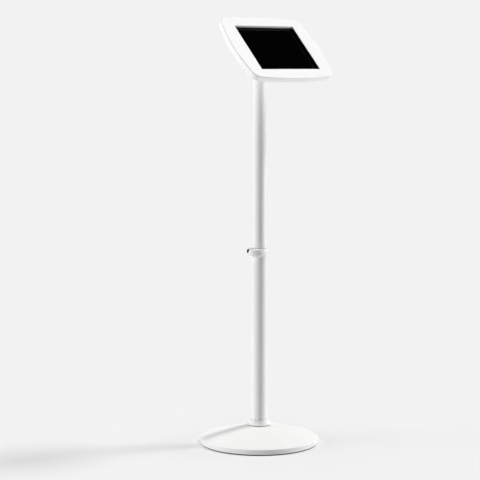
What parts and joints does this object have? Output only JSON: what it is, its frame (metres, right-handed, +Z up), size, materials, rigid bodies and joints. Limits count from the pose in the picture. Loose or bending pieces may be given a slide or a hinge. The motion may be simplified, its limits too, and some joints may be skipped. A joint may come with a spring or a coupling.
{
  "type": "adjustable tablet floor stand",
  "caption": "Floor stand that holds a tablet in a leaning white case on a height-adjustable, turning column with a weighted round base.",
  "frame": {"origin": "on the floor under the column's axis, at the middle of the round base", "axes": "+Z up along the column, -Y the way the screen faces, +X to the right of someone facing the screen"},
  "size_m": [0.305, 0.305, 1.0945],
  "materials": {
    "white_steel": "white powder coat, satin",
    "case_white": "white moulded plastic, satin",
    "face_white": "white acrylic, polished",
    "black_rubber": "black rubber, matte",
    "plain_steel": "zinc plated, satin",
    "black_screw": "black oxide, satin",
    "grey_nylon": "grey nylon, matte",
    "dark_nylon": "black nylon, matte",
    "brass": "turned",
    "pale_foam": "pale closed-cell foam",
    "dark_foam": "dark closed-cell foam",
    "tablet_metal": "blasted and anodised",
    "black_glass": "black backed, polished"
  },
  "bodies": {
    "base": {"floor_pad": "black_rubber", "weight_plate": "plain_steel", "base_cover": "white_steel", "foot_flange": "plain_steel", "foot_bolts": "plain_steel", "trim_ring": "white_steel", "trim_grubs": "black_screw", "lower_tube": "white_steel", "guide_bush": "grey_nylon", "clamp_collar": "white_steel", "collar_grubs": "black_screw"},
    "glide": {"glide_bush": "dark_nylon"},
    "upper": {"upper_tube": "white_steel", "glide_ring": "plain_steel", "neck_plate": "white_steel", "neck_screws": "plain_steel", "backing_plate": "plain_steel", "cable_grommet": "black_rubber", "rear_shell": "case_white", "faceplate": "face_white", "window_gasket": "pale_foam", "screw_inserts": "brass", "case_screws": "black_screw", "tablet_pads": "dark_foam", "tablet_case": "tablet_metal", "tablet_glass": "black_glass"},
    "clamp_pad": {"clamp_pad": "brass"},
    "clamp_screw": {"clamp_screw": "black_screw"}
  },
  "joints": [
    {"name": "height_slide", "type": "slide", "parent": "base", "child": "glide", "axis": [0, 0, 1], "range_m": [-0.22, 0.1]},
    {"name": "column_turn", "type": "hinge", "parent": "glide", "child": "upper", "pos_m": [0, 0, 0.4], "axis": [0, 0, 1], "range_deg": [-180, 180]},
    {"name": "pad_slide", "type": "slide", "parent": "base", "child": "clamp_pad", "axis": [-0.9511, 0.309, 0], "range_m": [0, 0.001]},
    {"name": "screw_turn", "type": "hinge", "parent": "clamp_pad", "child": "clamp_screw", "pos_m": [-0.02853, 0.00927, 0.5015], "axis": [-0.9511, 0.309, 0], "range_deg": [0, 360]}
  ],
  "couplings": [
    {"joint": "screw_turn", "follows": "pad_slide", "rad_per_m": 6283.1}
  ]
}
